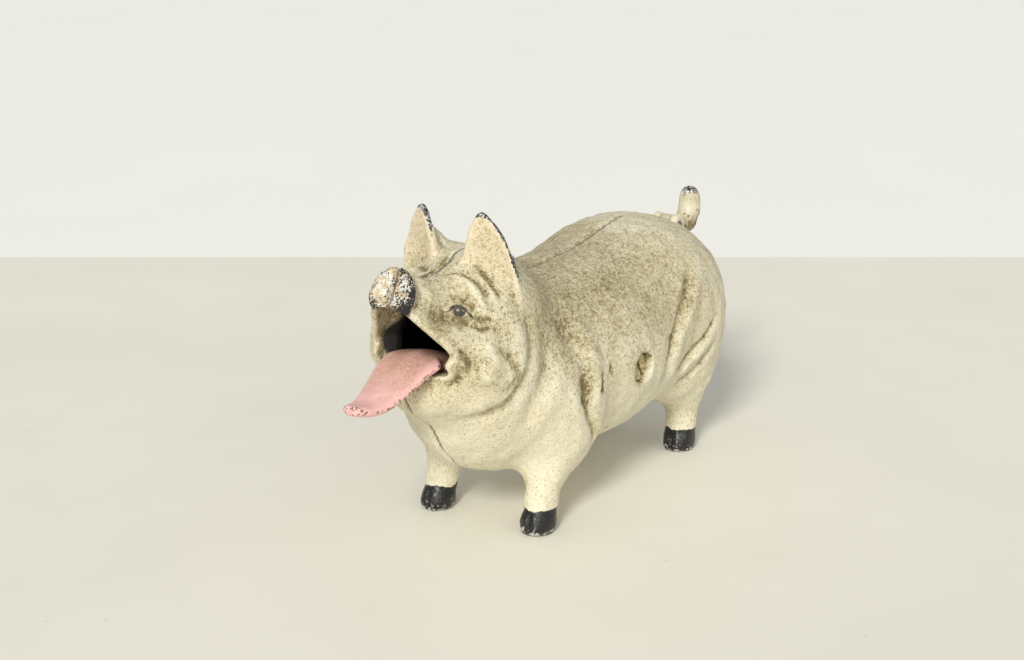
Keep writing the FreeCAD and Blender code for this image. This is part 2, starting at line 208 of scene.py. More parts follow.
# ---------------------------------------------------------------- distance functions
def size(v):
    return np.sqrt((v * v).sum(-1))


def ball(p, centre, radii):
    q = p - np.array(centre, np.float32)
    r = np.array(radii, np.float32)
    near = size(q / r)
    return near * (near - 1) / np.maximum(size(q / (r * r)), 1e-6)


def cone(p, a, b, ra, rb):
    a = np.array(a, np.float32)
    b = np.array(b, np.float32)
    line = b - a
    t = np.clip(((p - a) @ line) / (line @ line), 0, 1)
    return size(p - a - t[..., None] * line) - (ra + (rb - ra) * t)


def smin(a, b, k):
    h = np.maximum(k - np.abs(a - b), 0) / k
    return np.minimum(a, b) - h * h * k * 0.25


def smax(a, b, k):
    return -smin(-a, -b, k)


def bar(p, y, z, radius, x0, x1):
    """Round bar along X."""
    r = np.hypot(p[..., PY] - y, p[..., PZ] - z) - radius
    return np.maximum(r, np.maximum(x0 - p[..., PX], p[..., PX] - x1))


def block(p, low, high):
    d = np.maximum(low[0] - p[..., 0], p[..., 0] - high[0])
    for i in (1, 2):
        d = np.maximum(d, np.maximum(low[i] - p[..., i], p[..., i] - high[i]))
    return d


def beyond(p, a, b):
    """Distance in front of the line from a to b in the Y, Z plane (its left side seen from +X)."""
    dy = b[0] - a[0]
    dz = b[1] - a[1]
    run = math.hypot(dy, dz)
    return ((p[..., PZ] - a[1]) * dy - (p[..., PY] - a[0]) * dz) / run


def chain(p, points):
    """Rounded rod through (x, y, z, radius) points."""
    d = None
    for a, b in zip(points, points[1:]):
        piece = cone(p, a[:3], b[:3], a[3], b[3])
        d = piece if d is None else smin(d, piece, 1.5)
    return d


# ---------------------------------------------------------------- the casting
WALL = 4.0
# centre, radii and width of the blend of each round, for X >= 0
BODY = [
    ((0, 38, 57), (37, 44, 33), 0),          # rump
    ((0, -2, 50.5), (37, 56, 34), 10),       # barrel
    ((0, -44, 51), (29, 40, 33), 10),        # chest
    ((20, 45, 43), (15, 20, 24), 8),         # haunch
    ((19, -38, 40), (15, 17, 23), 8),        # shoulder
    ((0, -62, 74), (25.5, 26, 24), 8),       # head
    ((13, -70, 64), (13, 17, 17), 8),        # cheek
    ((0, -79, 57), (14, 18, 12), 8),         # jaw
]
# X, Y, Z and radius, top to bottom
FRONT_LEG = [(19.0, -42.0, 32, 10.4), (20.2, -46.0, 20, 6.9), (20.6, -48.6, 11, 5.4),
             (20.7, -49.8, 5, 5.4)]
HIND_LEG = [(19.5, 49.0, 32, 10.8), (20.3, 50.2, 20, 6.9), (20.5, 49.9, 11, 5.5),
            (20.6, 49.0, 5, 5.5)]
LEG_BLEND = 6                   # widths of the blends, here and below
HOOF_BLEND = 1.5
MUZZLE_BLEND = 6
LIPS_BLEND = 5
UPPER_LIP_BLEND = 3
NOSE_BLEND = 1.0
HEEL_BLEND = 5.0
HOOF_RADII = (5.7, 6.6, 6.4)
HOOVES = [(20.7, -51.2, 2.4), (20.7, 48.2, 2.4)]
MUZZLE = ((0, -74, 77), (0, -92.8, 86.4), 16, 8.4)      # ends and radii
LIPS = ((9, -84, 71), (9, 13, 10))                      # centre and radii
# X, Y, Z and radius from the nose to the corner of the mouth
UPPER_LIP = [(3.2, -103.2, 87.4, 2.8), (6.6, -98.6, 82.0, 3.6), (9.8, -93.0, 75.4, 4.4)]
EAR_BASE = np.array((13.4, -65.5, 79.0))
EAR_TIP = np.array((11.8, -71.4, 112.2))
EAR_ACROSS = (0.94, 0.34, 0.0)
EAR_HALF_WIDTH = 10.0
EAR_CUP = 3.6                   # depth of the hollow in front
EAR_HEEL = ((10.4, -67, 102), (8.5, -57, 89), 1.0, 6.0)  # ridge down the ear's back
NOSE_CENTRE = np.array((0, -101.0, 91.8))
NOSE_LEAN = math.radians(24)
MOUTH_CORNER = (-91.4, 70.6)    # Y, Z
UPPER_LIP_FRONT = (-105.2, 87.2)
LOWER_LIP_FRONT = (-100, 63.2)
MOUTH_FLOOR = 63.6
MOUTH_ROOF = 87.0
MOUTH_BACK = -62.0
MOUTH_HALF = 10.4               # half width inside the lips
LIPS_FLARE = 3.0                # extra half width at the lips
LIPS_FROM = -86.5               # Y in front of which it flares
ARCH_FROM = 73.0                # Z above which the mouth narrows
ARCH_SLOPE = 0.62
THROAT = ((0, -95, 77), (0, -62, 68), 6.5, 14)
SCREW = (-8, 49)                # Y, Z of the axes along X
TAIL_PIVOT = (73, 80)
TONGUE_PIVOT = (-83, 62.5)
TONGUE_EYE = (-73.81, 53.31)
TAIL_EYE = (67.87, 65.90)
PIN_HOLE = 1.5
SCREW_HOLE = 2.7
SCREW_BOSS = 6.0
RECESS = 5.3
RECESS_FLOOR = 31.5
TONGUE_BOSS = 4.2
TONGUE_ROOM = 8.3               # half width of the space for the tongue's hub
TONGUE_PIN_END = 13
TAIL_PIN_END = 20
LUG = 4.2
LUG_SIDES = (2.5, 5.5)
TAIL_SLOT = ((-9, 61, 60), (2.5, 79.5, 99))
SEAM_GAP = 0.04                 # between X = 0 and the casting's flat face
OUTSIDE = 60                    # X beyond the casting


def body(p):
    d = None
    for centre, radii, width in BODY:
        piece = ball(p, centre, radii)
        d = piece if d is None else smin(d, piece, width)
    return d


def ear_axes():
    along = EAR_TIP - EAR_BASE
    length = float(np.linalg.norm(along))
    along = along / length
    across = np.array(EAR_ACROSS)
    across = across - along * (across @ along)
    across = across / np.linalg.norm(across)
    front = np.cross(across, along)
    return along, across, front, length


def ear_place(p):
    """Across, up and out of the ear's face, share of its length, half width there, length."""
    along, across, front, length = ear_axes()
    q = p - EAR_BASE
    u = q @ across
    w = q @ along
    n = q @ front
    t = np.clip(w / length, 0, 1)
    half = EAR_HALF_WIDTH * np.power(1 - t ** 2.1, 0.62) * (0.93 + 0.07 * np.sin(math.pi * t))
    return u - 0.5 * (1 - t), w, n, t, half, length


def ear(p):
    u, w, n, t, half, length = ear_place(p)
    cup = EAR_CUP * (1 - 0.5 * t)
    middle = cup * (u / 9.5) ** 2 - cup * 0.45 - 1.2 * (1 - t) ** 2
    thick = 2.3 - 1.1 * t
    d = smax(np.abs(n - middle) - thick, (np.abs(u) - half) * 0.85, 1.4)
    return smax(d, np.maximum(w - length, -w - 12), 0.8)


def nose_place(p):
    """Across, up and out of the nose's face."""
    q = p - NOSE_CENTRE
    rise = q[..., PY] * math.sin(NOSE_LEAN) + q[..., PZ] * math.cos(NOSE_LEAN)
    out = -q[..., PY] * math.cos(NOSE_LEAN) + q[..., PZ] * math.sin(NOSE_LEAN)
    return np.abs(p[..., PX]), rise, out


def nose(p):
    x, rise, out = nose_place(p)
    wide = 8.0 * (1 - 0.22 * np.clip(rise / 7.8, -1, 1))
    low = -7.6 - 1.1 * np.exp(-((x - 5.0) / 2.6) ** 2) + 1.0 * np.exp(-(x / 1.6) ** 2)
    rim = (np.hypot(x / wide, rise / np.where(rise < 0, -low, 7.4)) - 1) * 7.6
    face = out - 1.5 - 0.5 * np.exp(-((x - 4.4) / 3.4) ** 2) + 1.9 * np.exp(-(x / 0.85) ** 2)
    return smax(rim, np.maximum(face, -out - 1.2), 0.7)


def skin(p):
    """The pig's outside, both halves."""
    p = p.copy()
    p[..., PX] = np.abs(p[..., PX])
    d = body(p)
    d = smin(d, cone(p, *MUZZLE), MUZZLE_BLEND)
    d = smin(d, ball(p, *LIPS), LIPS_BLEND)
    d = smin(d, chain(p, UPPER_LIP), UPPER_LIP_BLEND)
    for leg in (FRONT_LEG, HIND_LEG):
        d = smin(d, chain(p, leg), LEG_BLEND)
    for centre in HOOVES:
        d = smin(d, ball(p, centre, HOOF_RADII), HOOF_BLEND)
    d = smin(d, cone(p, *EAR_HEEL), HEEL_BLEND)
    behind = ear_place(p)[2]
    d = smin(d, ear(p), 3.0 + 5.0 * np.clip((-behind - 1) / 5, 0, 1))
    return smin(d, nose(p), NOSE_BLEND)


def mouth(p):
    """Opening between the lips, with the room behind it."""
    x = np.abs(p[..., PX])
    z = p[..., PZ]
    lips = np.clip((LIPS_FROM - p[..., PY]) / 4.0, 0, 1)
    half = MOUTH_HALF + LIPS_FLARE * lips - np.clip(z - ARCH_FROM, 0, None) * ARCH_SLOPE
    arch = smax((x - half) * 0.85, np.maximum(MOUTH_FLOOR - z, z - MOUTH_ROOF), 2.5)
    arch = np.maximum(arch, p[..., PY] - MOUTH_BACK)
    below_upper = beyond(p, MOUTH_CORNER, UPPER_LIP_FRONT)
    above_lower = -beyond(p, MOUTH_CORNER, LOWER_LIP_FRONT)
    notch = -np.minimum(below_upper, above_lower)
    return smin(smin(arch, notch, 0.8), cone(p, *THROAT), 1.0)


def lug(p):
    """Plate beside the tail that holds its pin."""
    y, z = TAIL_PIVOT
    front = beyond(p, (y - LUG, z), (y - LUG - 4, z - 5))
    rear = -beyond(p, (y + LUG, z), (y + LUG - 1, z - 10))
    foot = np.maximum(-np.minimum(front, rear), np.maximum(p[..., PZ] - z, z - 12 - p[..., PZ]))
    profile = np.minimum(bar(p, y, z, LUG, 0, OUTSIDE), foot)
    near, far = LUG_SIDES
    return smax(profile, np.maximum(near - p[..., PX], p[..., PX] - far), 0.8)


def half_pig(p):
    """The left casting, X >= 0."""
    hollow = body(p) + WALL
    d = smax(skin(p), -mouth(p), 1.0)
    keep = np.minimum(bar(p, *SCREW, SCREW_BOSS, -5, OUTSIDE),
                      bar(p, *TONGUE_PIVOT, TONGUE_BOSS, TONGUE_ROOM, OUTSIDE))
    d = np.maximum(d, -smax(hollow, -keep, 1.0))
    d = smin(d, np.maximum(lug(p), -hollow), 1.0)
    openings = [block(p, *TAIL_SLOT), bar(p, *TONGUE_PIVOT, TONGUE_BOSS, -9, TONGUE_ROOM),
                bar(p, *SCREW, SCREW_HOLE, -9, OUTSIDE),
                bar(p, *TONGUE_PIVOT, PIN_HOLE, -9, TONGUE_PIN_END),
                bar(p, *TAIL_PIVOT, PIN_HOLE, -9, TAIL_PIN_END)]
    for opening in openings:
        d = np.maximum(d, -opening)
    d = smax(d, -bar(p, *SCREW, RECESS, RECESS_FLOOR, OUTSIDE), 0.8)
    d = smax(d, SEAM_GAP - p[..., PX], 1.1)
    return smax(d, -p[..., PZ], 1.0)


# ---------------------------------------------------------------- meshing
CHUNK = 12    # grid layers worked out at a time


def sample(field, low, high, step):
    count = np.ceil((np.array(high) - low) / step).astype(int) + 1
    axes = [low[i] + step * np.arange(count[i]) for i in range(3)]
    d = np.empty(count, np.float32)
    for i in range(0, count[0], CHUNK):
        grid = np.meshgrid(axes[0][i:i + CHUNK], axes[1], axes[2], indexing="ij")
        d[i:i + CHUNK] = field(np.stack(grid, -1).astype(np.float32))
    return d


def slope(field, p, step=0.15):
    """Gradient of a field at points, from four nearby values."""
    g = np.zeros_like(p)
    for corner in ((1, 1, 1), (1, -1, -1), (-1, 1, -1), (-1, -1, 1)):
        c = np.array(corner, np.float32)
        g += c * field(p + c * step)[:, None]
    return g / (4 * step)


def settle(field, p, rounds=3, most=0.6):
    """Moves points onto the field's surface."""
    for _ in range(rounds):
        g = slope(field, p)
        move = -(field(p)[:, None]) * g / np.maximum((g * g).sum(-1, keepdims=True), 0.1)
        long = np.maximum(size(move) / most, 1)[:, None]
        p = (p + move / long).astype(np.float32)
    return p


def surface(field, low, high, step):
    """Vertices in mm and quads of the field's surface."""
    d = np.clip(sample(field, low, high, step), -3 * step, 3 * step)
    grid = openvdb.FloatGrid(float(3 * step))
    grid.copyFromArray(d)
    points, quads = grid.convertToQuads(0.0)
    points = (points * step + np.array(low)).astype(np.float32)
    return settle(field, points), np.ascontiguousarray(quads).astype(np.int32)


def build(name, points, quads, facts):
    """Mesh object in the row frame, with a float attribute for each fact."""
    mesh = bpy.data.meshes.new(name)
    mesh.vertices.add(len(points))
    mesh.vertices.foreach_set("co", ((points + SHIFT) * MM).astype(np.float32).ravel())
    mesh.loops.add(quads.size)
    mesh.loops.foreach_set("vertex_index", quads.ravel())
    mesh.polygons.add(len(quads))
    mesh.polygons.foreach_set("loop_start", np.arange(0, quads.size, 4, dtype=np.int32))
    mesh.update(calc_edges=True)
    mesh.polygons.foreach_set("use_smooth", np.ones(len(quads), bool))
    for fact, values in facts.items():
        layer = mesh.attributes.new(fact, "FLOAT", "POINT")
        layer.data.foreach_set("value", values.astype(np.float32))
    mesh.validate()
    piece = bpy.data.objects.new(name, mesh)
    scene.collection.objects.link(piece)
    return piece


def neighbours_mean(quads, values):
    """Average of each vertex's edge neighbours."""
    a = quads.ravel()
    b = np.roll(quads, -1, axis=1).ravel()
    ends = np.concatenate((a, b))
    others = np.concatenate((b, a))
    count = np.maximum(np.bincount(ends, minlength=len(values)), 1)
    if values.ndim == 1:
        return np.bincount(ends, values[others], len(values)) / count
    columns = [np.bincount(ends, values[others, i], len(values)) for i in range(3)]
    return np.stack([column / count for column in columns], -1)


def vertex_normals(points, quads):
    a, b, c, d = (points[quads[:, i]] for i in range(4))
    face = np.cross(c - a, d - b)
    n = np.zeros_like(points)
    for i in range(4):
        for k in range(3):
            n[:, k] += np.bincount(quads[:, i], face[:, k], len(points))
    return n / np.maximum(size(n), 1e-9)[:, None]


def curvature(points, quads, rounds):
    """Above 0 in hollows and below 0 on edges, smoothed."""
    n = vertex_normals(points, quads)
    bend = ((neighbours_mean(quads, points) - points) * n).sum(-1)
    for _ in range(rounds):
        bend = 0.4 * bend + 0.6 * neighbours_mean(quads, bend)
    return bend


# ---------------------------------------------------------------- sculpted strokes
def curve_points(points, step=0.5):
    """Points along a smooth curve through the given ones, and their share of its length."""
    p = np.array(points, float)
    ends = np.vstack((2 * p[0] - p[1], p, 2 * p[-1] - p[-2]))
    out = []
    for i in range(len(p) - 1):
        a, b, c, d = ends[i:i + 4]
        count = max(2, int(np.linalg.norm(c - b) / step))
        t = (np.arange(count) / count)[:, None]
        out.append(0.5 * (2 * b + (c - a) * t + (2 * a - 5 * b + 4 * c - d) * t ** 2
                          + (3 * b - a - 3 * c + d) * t ** 3))
    out = np.vstack(out + [p[-1:]]).astype(np.float32)
    return out, np.linspace(0, 1, len(out))


# height (mm, below 0 is a groove), half width (mm), darkening (dirt and painted shade in the
# crease), points on the left side
STROKES = [
    # shoulder crease
    (-1.6, 3.4, 0.45, [(22, -46, 77), (27, -41, 66), (31, -40, 59), (33.5, -41, 51),
                       (34.4, -40, 42), (33.4, -35, 33)]),
    (-1.1, 1.6, 0.9, [(32.3, -40.5, 55), (33.5, -41, 51), (34.4, -40, 42), (33.4, -35, 33),
                      (31.5, -33, 28)]),
    (1.2, 3.6, 0.0, [(28, -35, 67), (32, -34, 59), (35, -35, 50), (36, -35, 41)]),
    # jowl and neck
    (-1.6, 2.9, 0.6, [(23.6, -68, 83), (26.5, -64.5, 76), (27.4, -65, 68), (27, -68, 60),
                      (24, -72.5, 53), (19, -77.5, 48.5), (11, -82.5, 45.5)]),
    (1.2, 4.4, 0.0, [(22, -73, 80), (25, -70, 74), (26, -70.5, 67), (25, -74, 60),
                     (22, -78, 54), (17, -82, 51)]),
    (-0.8, 3.2, 0.3, [(25, -58, 79), (26.7, -55.5, 67), (27, -58.5, 56), (25.4, -62.7, 47),
                      (21.6, -65, 37)]),
    (0.7, 3.4, 0.0, [(28.5, -50, 67), (29, -52, 56), (27.4, -56, 47), (23.6, -60, 37)]),
    # thigh
    (-1.8, 2.1, 0.5, [(31, 34, 74), (34, 26, 68), (35.6, 19, 60.5), (36.3, 13.3, 53.4),
                      (35.7, 11, 45.3), (31.7, 13, 35.4)]),
    (0.9, 3.0, 0.0, [(32, 39, 73), (35.5, 31, 67), (37, 25, 60), (37.5, 19, 53), (37, 16, 45),
                     (33, 18, 35)]),
    (-1.5, 1.6, 0.7, [(37.3, 44, 55), (37, 36, 49.4), (35, 27.3, 44), (32, 22.4, 37.7)]),
    (0.9, 2.0, 0.0, [(37.3, 44, 51), (36.6, 36, 45.4), (34.6, 28.3, 40), (31, 23.8, 34)]),
    (-1.4, 1.5, 0.7, [(36.8, 45, 46.4), (35.3, 38.2, 39.8), (32, 31.8, 34.4), (28, 27.8, 30.8)]),
    # pits and marks
    (-1.3, 1.3, 1.5, [(34, -32, 51.4), (34, -32.4, 49.6)]),
    (-1.0, 1.1, 1.4, [(33.8, -26, 53.6), (33.8, -26, 52.4)]),
    (-0.8, 1.0, 1.2, [(34.4, -33.4, 48.2), (34.4, -33.4, 47.2)]),
    (-0.8, 1.0, 1.0, [(33.8, -42.7, 46.8), (33.8, -42.7, 46.0)]),
    (-0.7, 0.9, 1.0, [(25.5, -14.6, 27.5), (25.5, -14.6, 26.5)]),
    # brow
    (-1.3, 1.2, 0.8, [(3.7, -81, 94.5), (7, -77.3, 94.5), (11.6, -75.7, 92.8), (15.5, -75.3, 90),
                      (18.6, -76.2, 85.7)]),
    (2.1, 2.0, 0.0, [(5.8, -82.4, 93.6), (8.9, -80, 92.6), (12.7, -78.8, 90.4),
                     (15.7, -78.7, 87.3), (18, -79, 83.8)]),
    (-1.2, 1.2, 0.9, [(10.6, -71.6, 95), (14.7, -71.6, 92.6), (18.3, -71.8, 89.2),
                      (20.9, -72.2, 85.6)]),
    # eye socket, lids and the folds around it
    (-1.9, 2.8, 0.45, [(10.0, -90.5, 84.6), (12.0, -88.0, 83.6), (15.0, -84.5, 81.8),
                       (17.0, -82, 82.5)]),
    (-0.9, 1.6, 0.2, [(9.5, -86.5, 88.6), (12.3, -84, 88.3), (15.5, -81.8, 86), (17.5, -81, 83.6)]),
    (1.5, 1.9, 0.0, [(12.2, -87.2, 84.6), (13.4, -85.8, 83.9), (14.5, -84.5, 83.2)]),
    (0.55, 0.7, 0.25, [(11.4, -88.7, 85.5), (12.2, -86.6, 86.4), (13.6, -84.9, 85.6),
                       (15.2, -83.4, 83.4), (16.5, -82.7, 81.6)]),
    (0.45, 0.6, 0.5, [(11.7, -89, 83.2), (12.9, -87.6, 80.9), (14.9, -85.6, 79.9),
                      (16.8, -83.3, 80.3)]),
    (-0.7, 0.8, 1.0, [(16.9, -82.5, 81.2), (19, -80, 80.9), (21, -77.6, 80.7)]),
    (-0.6, 0.8, 0.8, [(17.4, -83, 78.4), (19.6, -80.6, 77.6), (21.4, -78.6, 78.2)]),
    # cheek and smile
    (2.2, 3.8, 0.0, [(21, -81, 71.5), (21, -79.5, 68), (20, -81, 64)]),
    (-1.5, 1.3, 0.5, [(16.5, -91.2, 74), (17, -88.5, 70.8), (17.5, -86.6, 67.7),
                      (17, -87.2, 64.2)]),
    (-1.3, 1.7, 0.6, [(22, -78.9, 72.1), (22, -73.4, 66.6), (22, -71.8, 61.5), (22, -76.6, 57.2)]),
    (-0.7, 1.8, 0.4, [(21, -78.4, 79.6), (23.5, -77.4, 75.8)]),
    (-1.0, 1.2, 1.1, [(13.6, -88, 67.3), (14.4, -88.4, 63), (12.5, -90, 59)]),
    # seam along the forehead, the chin and the back
    (-1.6, 1.3, 1.2, [(0, -93, 94), (0, -86, 95), (0, -79, 97), (0, -70, 97.5)]),
    (-0.9, 0.8, 0.6, [(0, -97, 55), (0, -95, 52.6), (0, -89, 47), (0, -82, 38), (0, -72, 26)]),
    (-0.8, 0.9, 0.7, [(0, -36, 79), (0, -20, 85), (0, 0, 87), (0, 20, 89), (0, 40, 90),
                      (0, 58, 88)]),
    # hooves
    (-1.2, 0.8, 0.0, [(20.7, -58, 0), (20.7, -57, 4), (20.7, -55.5, 7)]),
    (-1.0, 0.8, 0.0, [(20.6, 41.4, 0), (20.6, 42.2, 4), (20.6, 43.5, 7)]),
]


def apply_strokes(points, normals, outer):
    """Displaced points and the darkening that the strokes leave, dirt and painted shade in their
    creases.
    """
    height = np.zeros(len(points))
    grime_and_shade = np.zeros(len(points))
    for depth, width, dirt_and_shade, line in STROKES:
        path, share = curve_points(line)
        path = settle(skin, path, 4, 3.0)
        reach = 3 * width
        inside_box = (points > path.min(0) - reach) & (points < path.max(0) + reach)
        close = outer & np.all(inside_box, axis=1)
        index = np.flatnonzero(close)
        if not len(index):
            continue
        gaps = size(points[index][:, None, :] - path[None, :, :])
        nearest = gaps.argmin(1)
        gap = gaps[np.arange(len(index)), nearest]
        run = max(size(path[1:] - path[:-1]).sum(), 1e-3)
        end = np.minimum(share[nearest], 1 - share[nearest]) * run
        taper = np.clip(end / min(reach, run / 2.2) + 0.25, 0, 1) if run > reach else 1.0
        profile = np.exp(-(gap / width) ** 2) * taper
        height[index] += depth * profile
        grime_and_shade[index] += dirt_and_shade * np.exp(-(gap / (width * 1.5)) ** 2) * taper
    return points + normals * height[:, None], grime_and_shade


WAVES = 9


def seeded_noise(points, scale, seed):
    """Cheap smooth noise: a few waves in fixed random directions."""
    rng = np.random.default_rng(seed)
    total = np.zeros(len(points))
    for _ in range(WAVES):
        direction = rng.normal(size=3)
        direction = direction / np.linalg.norm(direction) * (2 * math.pi / scale)
        direction = direction * rng.uniform(0.6, 1.5)
        total += np.sin(points @ direction + rng.uniform(0, 6.28))
    return total / 3.0


STEP = 0.85                     # mm between the grid's points
SIDE_LIMIT = 37                 # X beyond which bumps are flattened
SIDE_EASE = 0.6
points, quads = surface(half_pig, (-1.7, -112.0, -1.7), (40.5, 86.0, 115.5), STEP)
outer = np.abs(skin(points)) < 0.35
normals = vertex_normals(points, quads)
points, stroke_grime_and_shade = apply_strokes(points, normals, outer)
soft_bumps = 0.16 * seeded_noise(points, 9.0, 3) + 0.10 * seeded_noise(points, 4.2, 5)
calm = np.clip(points[:, PX] / 4, 0.15, 1)
points = points + normals * (soft_bumps * outer * calm)[:, None]
proud = points[:, PX] - SIDE_LIMIT
points[:, PX] = np.where(proud > 0, SIDE_LIMIT + proud * SIDE_EASE, points[:, PX])
points[:, PX] = np.maximum(points[:, PX], 0.02)
points[:, PZ] = np.maximum(points[:, PZ], 0.0)
bend = curvature(points, quads, 3)


def wear(points, left):
    """Shares of the ears' bare rims, the nose, the nose's rim and the ears' fronts."""
    u, w, n, t, half, _ = ear_place(points)
    on_ear = ear(points) < 0.8
    high = (w > 6) * on_ear
    rim = np.clip(1.0 - (half - np.abs(u)) / 0.9, 0, 1) * high
    outer_rim = rim * (u > 0)
    inner_rim = rim * (u < 0)
    tip = 0.8 * np.clip((t - 0.90) / 0.08, 0, 1) * high
    if left:
        ears = outer_rim * np.clip((t - 0.12) * 3, 0.3, 1) + 0.3 * inner_rim
    else:
        ears = inner_rim * np.clip((t - 0.55) * 3, 0, 1) + 0.15 * outer_rim
    x, rise, out = nose_place(points)
    snout = np.clip((out + 1.0) / 0.8, 0, 1) * np.clip((12.5 - np.hypot(x, rise)) / 1.0, 0, 1)
    snout = snout * (out < 6) * (points[:, PY] < -90)
    nose_rim = np.clip((np.hypot(x / 8.6, rise / 8.0) - 0.62) / 0.4, 0, 1)
    front = np.clip(n + 1.0, 0, 1) * np.clip((w - 2) / 16, 0, 1) * on_ear
    return np.clip(ears + tip, 0, 1), snout, nose_rim * snout, front


def facts(left):
    """What the paint has to know at each vertex."""
    ears, snout, nose_rim, ear_front = wear(points, left)
    screw_gap = np.hypot(points[:, PY] - SCREW[0], points[:, PZ] - SCREW[1])
    socket = np.exp(-((screw_gap - 4.6) / 1.8) ** 2)
    lips = np.exp(-np.clip(mouth(points), 0, None) / 2.0) * (points[:, PZ] > 58)
    leg_top = np.exp(-((points[:, PZ] - 14) / 5.0) ** 2) * 0.5
    # darkening from the strokes' creases, a ring in the screw's recess, the mouth's edge and a band
    # low on the legs: dirt and painted shade
    grime_and_shade = stroke_grime_and_shade + 1.5 * socket * (points[:, PX] > 25) + 0.5 * lips + leg_top
    return {"grime_and_shade": np.clip(grime_and_shade, 0, 2), "bend": bend, "ears": ears, "snout": snout,
            "nose_rim": nose_rim, "ear_front": ear_front,
            "inside": np.clip((-skin(points) - 2.4) / 1.4, 0, 1)}


def mirrored(p, q):
    return p * np.array((-1, 1, 1), np.float32), q[:, ::-1]


pig_left = build("pig_left", points, quads, facts(True))
pig_right = build("pig_right", *mirrored(points, quads), facts(False))


# ---------------------------------------------------------------- tongue and tail
TONGUE_TOP = [(-71, 64.6), (-77, 66.2), (-83, 68.4), (-90, 69.8), (-98, 67.6), (-106, 63.6),
              (-113, 60.8), (-119, 60.4), (-127, 62.2)]
TONGUE_WIDTHS_AT = (-125, -124.6, -123.6, -122, -120, -112, -100, -91)
TONGUE_HALF_WIDTHS = (0, 1.7, 3.1, 4.2, 5.1, 7.2, 10.0, 11.3)
TONGUE_TIP = -125.0
TONGUE_END = -71
TAIL_PATH = [(0, 76, 77.6, 3.0), (0, 83.0, 76.4, 3.6), (0, 88.0, 78.4, 3.9), (0, 90.6, 82.4, 4.0),
             (0, 91.0, 86.0, 3.8), (0, 90.7, 88.1, 3.75)]
TAIL_ROOT = ((0, 73, 80), (0, 83, 76.8), 3.4, 3.0)
TAIL_FRONT = 80.2
ARM_HALF = 2.0                  # half thickness of the arms
ARM_EYE = 3.2
PIVOT_HOLE = 1.55
RIVET_HOLE = 1.25
tongue_line = curve_points([(0, y, z) for y, z in TONGUE_TOP])[0][::-1]


def tongue_top(y):
    return np.interp(y, tongue_line[:, PY], tongue_line[:, PZ])


def lever_arm(p, pivot, eye, radius, eye_radius):
    """Flat arm inside the casting, from a pivot to a rivet's eye."""
    arm = cone(p, (0, *pivot), (0, *eye), radius, eye_radius)
    arm = smin(arm, bar(p, *eye, ARM_EYE, -9, 9), 1.0)
    return smax(arm, np.abs(p[..., PX]) - ARM_HALF, 0.7)


def drilled(p, d, pivot, eye):
    d = np.maximum(d, -bar(p, *pivot, PIVOT_HOLE, -20, 20))
    return np.maximum(d, -bar(p, *eye, RIVET_HOLE, -20, 20))


def tongue(p):
    x = np.abs(p[..., PX])
    y = p[..., PY]
    fall = (tongue_top(y + 1) - tongue_top(y - 1)) / 2
    half = np.interp(y, TONGUE_WIDTHS_AT, TONGUE_HALF_WIDTHS)
    root = np.clip((y + 93) / 5.5, 0, 1)
    half = half - 3.4 * root * root * (3 - 2 * root)
    share = np.clip(x / 11, 0, 1)
    ridge = 0.5 * np.exp(-(x / 2.6) ** 2) * np.clip((y + 120) / 14, 0, 1)
    middle = tongue_top(y) - 1.9 - 0.8 * share ** 2 + ridge - 0.25
    thick = 1.7 - 0.35 * share ** 2
    flat = (np.abs(p[..., PZ] - middle) - thick) / np.sqrt(1 + fall * fall)
    d = smax(flat, np.maximum((x - half) * 0.8, TONGUE_TIP - y), 2.2)
    d = np.maximum(d, y - TONGUE_END)
    d = smin(d, bar(p, *TONGUE_PIVOT, 3.3, -8, 8), 1.0)
    d = smin(d, lever_arm(p, TONGUE_PIVOT, TONGUE_EYE, 2.6, 2.4), 1.0)
    return drilled(p, d, TONGUE_PIVOT, TONGUE_EYE)


def tail(p):
    aside = np.abs(p[..., PX]) - ARM_HALF
    d = smax(chain(p, TAIL_PATH), TAIL_FRONT - p[..., PY], 0.8)
    narrow = smax(cone(p, *TAIL_ROOT), aside, 0.8)
    hub = smax(bar(p, *TAIL_PIVOT, 3.8, -9, 9), aside, 0.8)
    arm = lever_arm(p, TAIL_PIVOT, TAIL_EYE, 2.8, 2.6)
    d = smin(smin(d, narrow, 1.5), smin(hub, arm, 1.0), 0.8)
    return drilled(p, d, TAIL_PIVOT, TAIL_EYE)


def small_piece(name, field, low, high, step):
    p, q = surface(field, low, high, step)
    return build(name, p, q, {"bend": curvature(p, q, 3)})


tongue_piece = small_piece("tongue", tongue, (-13, -127, 48), (13, -69, 70), 0.55)
tail_piece = small_piece("tail", tail, (-6, 62, 61), (6, 97, 94), 0.45)


# ---------------------------------------------------------------- materials
CREAM = linear(232, 225, 197)
PALE = linear(243, 236, 208)
TAN = linear(186, 177, 138)
OCHRE = linear(152, 133, 82)
BROWN = linear(92, 70, 44)
SOOT = linear(28, 26, 24)
IRON = linear(52, 50, 50)
SILVER = linear(205, 205, 208)
STRAW = linear(226, 216, 184)
PEACH = linear(234, 212, 176)
SLATE = linear(74, 66, 60)
BONE = linear(226, 222, 210)
SKIN = linear(206, 186, 150)
SEAM_DARK = linear(70, 54, 36)
SEAM_RUST = linear(132, 100, 62)
EYE_DARK = linear(52, 49, 46)
HOOF_BLACK = linear(22, 21, 20)
HOOF_CHIP = linear(196, 192, 182)
INSIDE_DARK = linear(14, 13, 12)
INSIDE_BROWN = linear(34, 30, 26)
PINK = linear(240, 190, 182)
ROSE = linear(232, 180, 172)


EYE_CENTRE = (13.75, -85.2, 83.5)
EYE_BACK = (0.550, 0.766, -0.333)       # from the eye's inner corner to its outer one
EYE_RISE = (-0.114, 0.463, 0.879)
EYE_OUT = (0.827, -0.445, 0.342)


